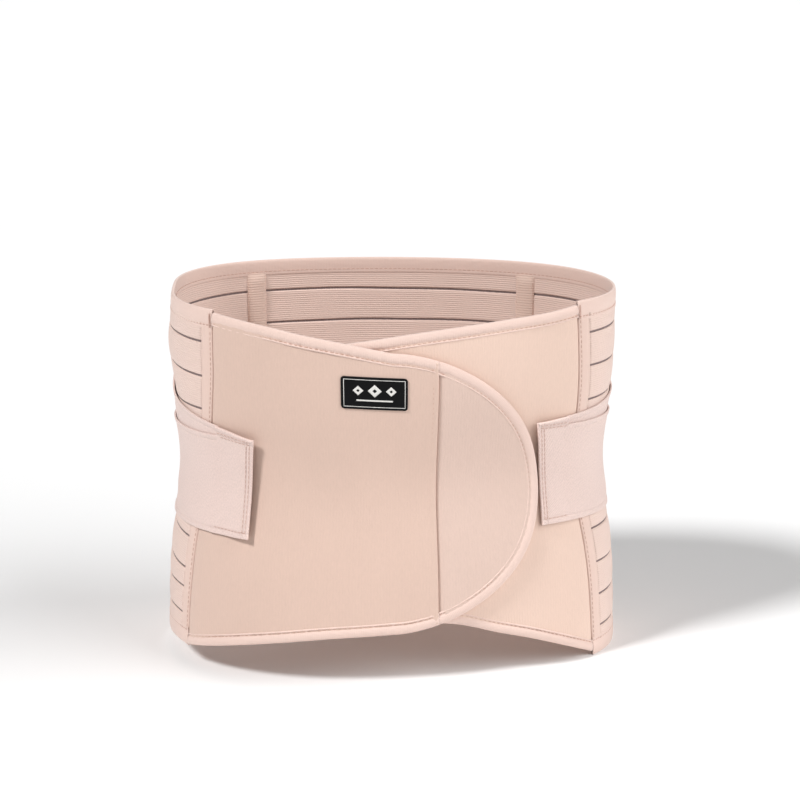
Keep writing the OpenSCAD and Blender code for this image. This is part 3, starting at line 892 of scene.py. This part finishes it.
def make_strap(side, upper):
    name = side_name(side) + ("_strap_upper" if upper else "_strap_lower")
    fan = FANS[side]
    s = shares(180, 2.2)[:, None]
    t = shares(STRAP_W, 0.55)[None, :]
    z = WAIST_Z + 0 * s * t
    for _ in range(4):
        u = mix(fan[1][0] + side * 6, tab_start(side, z), s)
        high = fan_edge(fan, 1, u) if upper else fan_edge(fan, 2, u) + STRAP_W
        z = high - STRAP_W + t * STRAP_W
    # the lower strap lies over the upper one, and against the bands below it
    upper_low = fan_edge(fan, 1, u) - STRAP_W
    base = UNDER_OFF if upper else mix(UNDER_OFF - 0.3, OVER_OFF, smooth(upper_low - 16, upper_low - 1, z))
    edge = np.minimum(t * STRAP_W, (1 - t) * STRAP_W) + 0 * u
    full = rounded(edge, 0.45)
    bulge = 0.5 * (1 - smooth(HEM - 0.5, HEM + 0.2, edge)) - 0.25 * ridge(edge - HEM - 0.4, 0.5)
    middle = base + STRAP_T / 2
    sag = 0.5 * ripple(u * 0.8, z, 3 + side) * rounded(edge, 12)
    out = middle + 0.5 * full * STRAP_T + (bulge + sag) * full
    inn = middle - 0.5 * full * STRAP_T + (sag * 0.5) * full
    piece = Piece(name, STRAP)
    add_shell(piece, *facing(side, u, z, out, inn, edge))
    return finish(piece.make(), None, [name], PANEL_OPENING[side])


def tab_lift(side, free):
    """How far a tab's free end curls away from the panel, by its distance to that end."""
    return (3.2 if side < 0 else 0.9) * (1 - smooth(0, 24, free))


def tab_rise(side, u, free, t):
    """How far a tab stands off, by the distance to its free end and the share t of its height."""
    if side < 0:
        return lift(u) + tab_lift(side, free)
    return tab_lift(side, free) * mix(0.6, 2.6, t)


def make_tab(side):
    name = side_name(side) + "_tab"
    fan = FANS[side]
    low, high = fan[0][2], fan[0][1]
    s = shares(TAB_LENGTH, 0.6)[:, None]
    t = shares(high - low, 0.55)[None, :]
    end = tab_end(side, t)
    u = mix(tab_start(side, mix(low, high, t)), end, s)
    top, bottom = fan_edge(fan, 1, u), fan_edge(fan, 2, u)
    z = mix(bottom, top, t)
    free = np.abs(u - end)
    edge = np.minimum(np.minimum(z - bottom, top - z), free)
    full = rounded(edge, 0.6)
    run = np.clip(free / TAB_LENGTH, 0, 1)
    # hems: two along the top that meet near its corner, one along the bottom, a double one at the end
    under_top, over_bottom = top - z, z - bottom

    def hem(inside):
        return 1 - smooth(-0.5, 0.2, inside)

    hems = 0.35 * hem(over_bottom - HEM) + 0.5 * (
        hem(under_top - mix(1.7, HEM, run)) + hem(under_top - mix(3.2, 5.6, run)) + hem(free - 3.8))
    grooves = 0.35 * (ridge(free - 2.0, 0.35) + ridge(free - 4.2, 0.4)
                      + ridge(under_top - mix(2.0, 3.8, run), 0.4)
                      + ridge(under_top - mix(3.6, 6.0, run), 0.4) + ridge(over_bottom - HEM - 0.4, 0.4))
    middle = OVER_OFF + STRAP_T / 2 - 0.1 + tab_rise(side, u, free, t)
    uneven = 0.3 * ripple(u * 1.4, z, 8 + side) * rounded(edge, 8)
    out = middle + 0.5 * TAB_T * full + (hems - grooves + uneven) * full
    inn = middle - 0.5 * TAB_T * full
    piece = Piece(name, STRAP, THREAD)
    add_shell(piece, *facing(side, u, z, out, inn, edge))

    def stitch(line_u, from_end, share, above):
        line_z = mix(fan_edge(fan, 2, line_u), fan_edge(fan, 1, line_u), share)
        off = OVER_OFF + STRAP_T / 2 + TAB_T / 2 + above + tab_rise(side, line_u, from_end, share)
        add_stitches(piece, line_u, line_z, off, radius=0.17)

    a = np.linspace(0, 1, 60)
    lower_hem = high - low - HEM - 0.6
    for inset, above in ((mix(2.1, 3.9, a), 0.8), (mix(3.8, 6.2, a), 0.5), (lower_hem + 0 * a, 0.1)):
        share = 1 - inset / (high - low)
        line_end = tab_end(side, share)
        line_u = mix(line_end, tab_start(side, mix(low, high, share)), mix(0.06, 0.97, a))
        stitch(line_u, np.abs(line_u - line_end), share, above)
    for inset, above in ((2.1, 0.6), (4.4, 0.15)):
        share = mix(0.04, 0.96, a)
        stitch(tab_end(side, share) + side * inset, inset, share, above)
    return finish(piece.make(), None, [name], TAB_PEELING[side])


def make_tab_hook(side):
    name = side_name(side) + "_tab_hook"
    tab_u, high, low = FANS[side][0]
    s = shares(HOOK_LENGTH, 0.8)[:, None]
    t = shares(HOOK_H, 1.2)[None, :]
    z = mix(low + HOOK_INSET, high - HOOK_INSET, t) + 0 * s
    u = mix(tab_start(side, z) - side * HOOK_INSET, tab_u + side * HOOK_INSET, s)
    edge = np.minimum(np.minimum(t, 1 - t) * HOOK_H, np.minimum(s, 1 - s) * HOOK_LENGTH) + 0 * u
    half = 0.3 * rounded(edge, 0.4)
    middle = 2.15 + tab_rise(side, u, np.abs(u - tab_u), t)
    piece = Piece(name, HOOK)
    add_shell(piece, *facing(side, u, z, middle + half, middle - half, edge))
    return finish(piece.make(), None, [name], TAB_PEELING[side])


def make_anchor_tape(side):
    name = side_name(side) + "_anchor_tape"
    anchor_u, top, bottom = FANS[side][1]
    low, high = TRIM_OUT - 1.5, BRACE_H - TRIM_OUT + 1.5

    def over(z):
        """How far the tape rises to pass over the strap ends."""
        ends = smooth(bottom - 14, bottom + 1, z) * (1 - smooth(top - 1, top + 14, z))
        return (OVER_OFF + STRAP_T + 0.5 - BAND_T) * ends

    u, z, d, edge = strip(anchor_u, low, high, ANCHOR_TAPE_W)
    groove = ridge(d - 0.72 * ANCHOR_TAPE_W / 2, 0.5)
    shape = rounded(edge, 1.0) * (1 - 0.35 * groove + 0.25 * (1 - (2 * d / ANCHOR_TAPE_W) ** 2))
    piece = Piece(name, TAPE, THREAD)
    add_shell(piece, u, z, BAND_T + 0.25 + over(z) + 0.75 * shape, BAND_T + 0.1 + over(z) * 0.9, edge)
    for d in (-0.72, 0.72):
        rows = np.linspace(low + 1, high - 1, 160)
        add_stitches(piece, anchor_u + d * ANCHOR_TAPE_W / 2 + 0 * rows, rows, BAND_T + 0.75 + over(rows))
    return finish(piece.make(), "back", [name])


# ---- Front panels

END_STITCH_IN = 3.4   # from the round end's seam to its row of stitches


def outer_u(z, s):
    return mix(left_seam(z) + BODY_GAP, END_SEAM_U - SEWN_GAP, s)


def inner_u(z, s):
    return mix(INNER_END_U, right_seam(z) - BODY_GAP, s)


def panel_grid(across_u, bottom, top, columns, rows):
    """Grids u and z of a panel, and the distances down and up to its edges."""
    s = columns[:, None]
    low, high = np.zeros_like(s), np.full_like(s, 240.0)
    for _ in range(4):
        low = bottom(across_u(low, s))
        high = top(across_u(high, s))
    z = mix(low, high, rows[None, :])
    u = across_u(z, s)
    return u, z, z - low, high - z


def make_panel(name, u, z, edge, rise, material, cad_nodes, opening, seed, puff, seams):
    """The foam core and brushed face of a panel, as one soft padded shell."""
    full = rounded(edge, 0.8)
    soft = rounded(edge, 11.0)
    out = rise(u) + PANEL_OUT * (0.2 + 0.8 * full) + (puff + 0.55 * ripple(u, z, seed)) * soft - seams
    inn = rise(u) + mix(0.15, -FOAM_T / 2, full)
    piece = Piece(name, material)
    add_shell(piece, u, z, out, inn, edge)
    made = finish(piece.make(), None, cad_nodes, opening)
    return made


def make_lining(name, u, z, edge, rise, material, opening, seed):
    """The thin cloth behind a panel; its flat size is the panel's outline laid flat."""
    full = rounded(edge, 0.5)
    piece = Piece(name, material)
    middle = rise(u) - FOAM_T / 2 - 0.25
    wave = 0.12 * ripple(u, z, seed)
    add_shell(piece, u, z, middle + 0.2 * full + wave, middle - 0.2 * full + wave, edge)
    made = finish(piece.make(), None, [name], opening)
    return made


def edge_binding(name, across_u, edge_z, up, rise, opening):
    """Binding over the top (up 1) or bottom (up -1) edge of a panel, with its row of stitches."""
    s = np.linspace(0, 1, 150)
    z = np.full_like(s, 240.0 if up > 0 else 20.0)
    for _ in range(5):
        z = edge_z(across_u(z, s))
    u = across_u(z, s)
    # columns lean with the seam, so the direction into the panel is that of its own columns
    inward = np.stack([across_u(z - up * 10, s) - u, np.full_like(u, -up * 10)])
    inward /= np.hypot(*inward)
    piece = Piece(name, BINDING, THREAD)
    cut = add_binding(piece, u, z, inward, rise, PANEL_OUT, PANEL_IN, BINDING_W, BINDING_W)
    return finish(piece.make(), None, [name], opening)


def end_hem(u):
    """The hem over the round end's seam stands up, with a shallow valley along its stitches."""
    from_seam = END_SEAM_U - u
    return 0.45 * ridge(from_seam - END_STITCH_IN, 0.7) - 0.75 * (1 - smooth(2.2, 3.6, from_seam))


def make_front_panel(name, size, across_u, bottom, top, rise, material, opening, seed,
                     puff=0.55, seams=flat):
    """A panel with its foam, lining and bindings; size is its width and height, for the grid."""
    u, z, low, high = panel_grid(across_u, bottom, top, shares(size[0], 2.2), shares(size[1], 2.4))
    side = np.minimum(u - across_u(z, 0), across_u(z, 1) - u)
    edge = np.minimum(np.minimum(low, high), side)
    cad_nodes = [name + "_face", name + "_foam"]
    make_panel(name + "_face", u, z, edge, rise, material, cad_nodes, opening, seed, puff, seams(u))
    make_lining(name + "_lining", u, z, edge, rise, LINING, opening, seed + 1)
    edge_binding(name + "_top_binding", across_u, top, 1, rise, opening)
    edge_binding(name + "_bottom_binding", across_u, bottom, -1, rise, opening)


def end_outline(phi):
    """The round end's outline, from the bottom of its seam (phi = -1) over the tip to the top (phi = 1)."""
    corner = math.acos((END_SEAM_U / FLAP_TIP_U) ** (END_POWER / 2))
    a = phi * corner
    u = FLAP_TIP_U * np.cos(a) ** (2 / END_POWER)
    z = end_mid(u) + END_HALF_H * np.sign(a) * np.abs(np.sin(a)) ** (2 * END_ROOT)
    return u, z


def make_flap_end():
    start_u = END_SEAM_U + SEWN_GAP
    phi = np.linspace(-1, 1, 150)
    edge_u, edge_z = end_outline(phi)
    edge_u = np.maximum(edge_u, start_u)
    r = np.concatenate([
        [0, 0.003, 0.008, 0.016, 0.03, 0.05], np.linspace(0.08, 0.95, 26), [0.97, 0.985, 0.993, 1.0]])
    seam_z = mix(edge_z[0], edge_z[-1], (phi + 1) / 2)
    # columns leave the outline straight inwards and bend towards the seam
    u = mix(edge_u[:, None], start_u, r[None, :])
    z = mix(edge_z[:, None], seam_z[:, None], smooth(0, 1, r)[None, :] * 0.6 + r[None, :] * 0.4)
    du, dz = u[..., None] - edge_u, z[..., None] - edge_z
    to_edge = np.sqrt((du ** 2 + dz ** 2).min(-1))
    edge = np.minimum(to_edge, u - start_u)
    valley = 0.8 * (1 - smooth(0.4, 4.5, u - END_SEAM_U))
    make_panel("flap_end_face", u, z, edge, lift, END_FACE, ["flap_end_face", "flap_end_foam"],
               end_opening, 1.4, puff=0.65, seams=valley)
    make_lining("flap_end_hook_pad", u, z, edge, lift, HOOK, end_opening, 4.0)
    along = np.stack([np.gradient(edge_u), np.gradient(edge_z)])
    along /= np.hypot(*along)
    inward = np.stack([-along[1], along[0]])
    inward[:, 0], inward[:, -1] = (0, 1), (0, -1)
    piece = Piece("flap_end_binding", BINDING, THREAD)
    cut = add_binding(piece, edge_u, edge_z, inward, lift, PANEL_OUT, PANEL_IN, BINDING_W, BINDING_W)
    finish(piece.make(), None, ["flap_end_binding"], end_opening)


def make_seam_stitches():
    """The upright row of stitches in the outer panel, beside its round end."""
    piece = Piece("outer_panel_seam_stitches", THREAD)
    z = np.linspace(47, 206, 200)
    add_stitches(piece, END_SEAM_U - END_STITCH_IN + 0 * z, z, lift(END_SEAM_U) + PANEL_OUT + 0.2, 0)
    seam = piece.make()
    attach(seam, "outer_panel")


LABEL_W, LABEL_H = 40.6, 21.6
LABEL_U, LABEL_Z, LABEL_TILT = -11.5, 199.7, -0.08
LABEL_CORNER = 2.2
LABEL_OFF = PANEL_OUT + 0.75


def label_place(x, y):
    """u and z of a place on the label, x along it and y up it from its middle."""
    return LABEL_U + x, LABEL_Z + y + LABEL_TILT * x


def label_rise(u, z):
    """The panel's face under the label, with the label's own unevenness."""
    return lift(u) + LABEL_OFF + 0.55 * ripple(u, z, 1.0)


def make_label():
    """A black woven label with a border, three small diamonds and a bar in place of the lettering."""
    s, t = shares(LABEL_W, 1.2)[:, None], shares(LABEL_H, 1.2)[None, :]
    x, y = mix(-LABEL_W / 2, LABEL_W / 2, s), mix(-LABEL_H / 2, LABEL_H / 2, t)
    # corners are pulled in to a small radius
    flat_x, flat_y = LABEL_W / 2 - LABEL_CORNER, LABEL_H / 2 - LABEL_CORNER
    over_x, over_y = np.maximum(np.abs(x) - flat_x, 0), np.maximum(np.abs(y) - flat_y, 0)
    pull = LABEL_CORNER / np.maximum(np.hypot(over_x, over_y), LABEL_CORNER)
    x = np.sign(x) * (np.minimum(np.abs(x), flat_x) + over_x * pull)
    y = np.sign(y) * (np.minimum(np.abs(y), flat_y) + over_y * pull)
    u, z = label_place(x, y)
    edge = np.minimum(LABEL_W / 2 - np.abs(x), LABEL_H / 2 - np.abs(y))
    full = rounded(edge, 0.5)
    base = label_rise(u, z)
    piece = Piece("label", LABEL, MOTIF)
    add_shell(piece, u, z, base + 0.35 + 0.35 * full, base - 0.3 + 0 * u, edge)

    def bar(x0, x1, y0, y1):
        a, b = np.linspace(0, 1, 9)[:, None], np.linspace(0, 1, 4)[None, :]
        bu, bz = label_place(mix(x0, x1, a) + 0 * b, mix(y0, y1, b) + 0 * a)
        rise = label_rise(bu, bz) + 0.75
        add_shell(piece, bu, bz, rise + 0.1, rise - 0.2, 5 + 0 * bu, 1)

    inset_x, inset_y, line = LABEL_W / 2 - 1.6, LABEL_H / 2 - 1.6, 0.35
    for low, high in ((inset_y - line, inset_y), (-inset_y, -inset_y + line)):
        bar(-inset_x, inset_x, low, high)
    for low, high in ((-inset_x, -inset_x + line), (inset_x - line, inset_x)):
        bar(low, high, -inset_y, inset_y)
    bar(-11, 11, -5.2, -4.2)
    for middle in (-10, 0, 10):
        size = 4.2 if middle == 0 else 3.2
        a, b = np.linspace(-1, 1, 9)[:, None], np.linspace(-1, 1, 9)[None, :]
        dx, dy = middle + (a + b) / 2 * size, 1.8 + (b - a) / 2 * size
        du, dz = label_place(dx, dy)
        rise = label_rise(du, dz) + 0.75
        ring = np.maximum(np.abs(a), np.abs(b))
        add_shell(piece, du, dz, rise + 0.12 - 0.25 * (ring < 0.45), rise - 0.25 + 0 * du, 5 + 0 * du, 1)
    finish(piece.make(), "outer_panel", ["label"])


for band in range(1, BAND_COUNT + 1):
    make_band(band)
make_mesh_strips()
for up in (1, -1):
    make_trim(up)
for side in (-1, 1):
    make_seam_tape(side)
    make_casing(side)
    for upper in (True, False):
        make_strap(side, upper)
    make_tab(side)
    make_tab_hook(side)
    make_anchor_tape(side)
make_front_panel("outer_panel", (160, 220), outer_u, outer_bottom_z, outer_top_z, lift, FACE,
                 left_opening, 1.0, seams=end_hem)
make_flap_end()
make_front_panel("inner_panel", (175, 210), inner_u, inner_bottom, inner_top, flat, INNER_FACE_PAINTED_LIGHT,
                 right_opening, 5.0, puff=0.4)
make_seam_stitches()
make_label()

for node, material in (("left_stay", STEEL), ("right_stay", STEEL), ("stay_tips", PLASTIC)):
    for material_slot in frame["nodes"][node].material_slots:
        material_slot.material = material


# ---- Floor, light and camera

def make_floor():
    mesh = bpy.data.meshes.new("floor")
    reach = 30.0
    corners = [(-reach, -reach, 0), (reach, -reach, 0), (reach, reach, 0), (-reach, reach, 0)]
    mesh.from_pydata(corners, [], [(0, 1, 2, 3)])
    floor = add_object("floor", mesh)
    m = Nodes("pale_floor", 0.9)
    m.shader.inputs["Base Color"].default_value = (0.9, 0.9, 0.9, 1)
    m.soft(0.0, 0.1)
    mesh.materials.append(m.material)


def sun(name, towards, strength, softness):
    """A soft distant light that shines from the direction towards."""
    light = bpy.data.lights.new(name, "SUN")
    light.energy = strength
    light.angle = math.radians(softness)
    add_object(name, light).rotation_euler = aim(towards, (0, 0, 0))


def aim(place, target):
    return (Vector(target) - Vector(place)).to_track_quat("-Z", "Y").to_euler()


def make_light():
    world = bpy.data.worlds.new("studio")
    world.use_nodes = True
    background = world.node_tree.nodes["Background"]
    background.inputs["Color"].default_value = (1, 1, 1, 1)
    background.inputs["Strength"].default_value = 0.16
    bpy.context.scene.world = world
    sun("key", (-0.8, -0.62, 0.95), 2.65, 12)
    sun("fill", (1.1, -0.45, 0.7), 2.55, 60)


def make_camera():
    camera = add_object("camera", bpy.data.cameras.new("camera"))
    place = (0, -1.7637, 0.5622)
    camera.location = place
    camera.rotation_euler = aim(place, (0, 0.0043, 0.1315))
    camera.data.lens = 117.02
    camera.data.sensor_width = 36
    camera.data.shift_x = 0.0105
    camera.data.shift_y = 0.0646
    bpy.context.scene.camera = camera


make_floor()
make_light()
make_camera()
bpy.context.scene.view_settings.view_transform = "Standard"
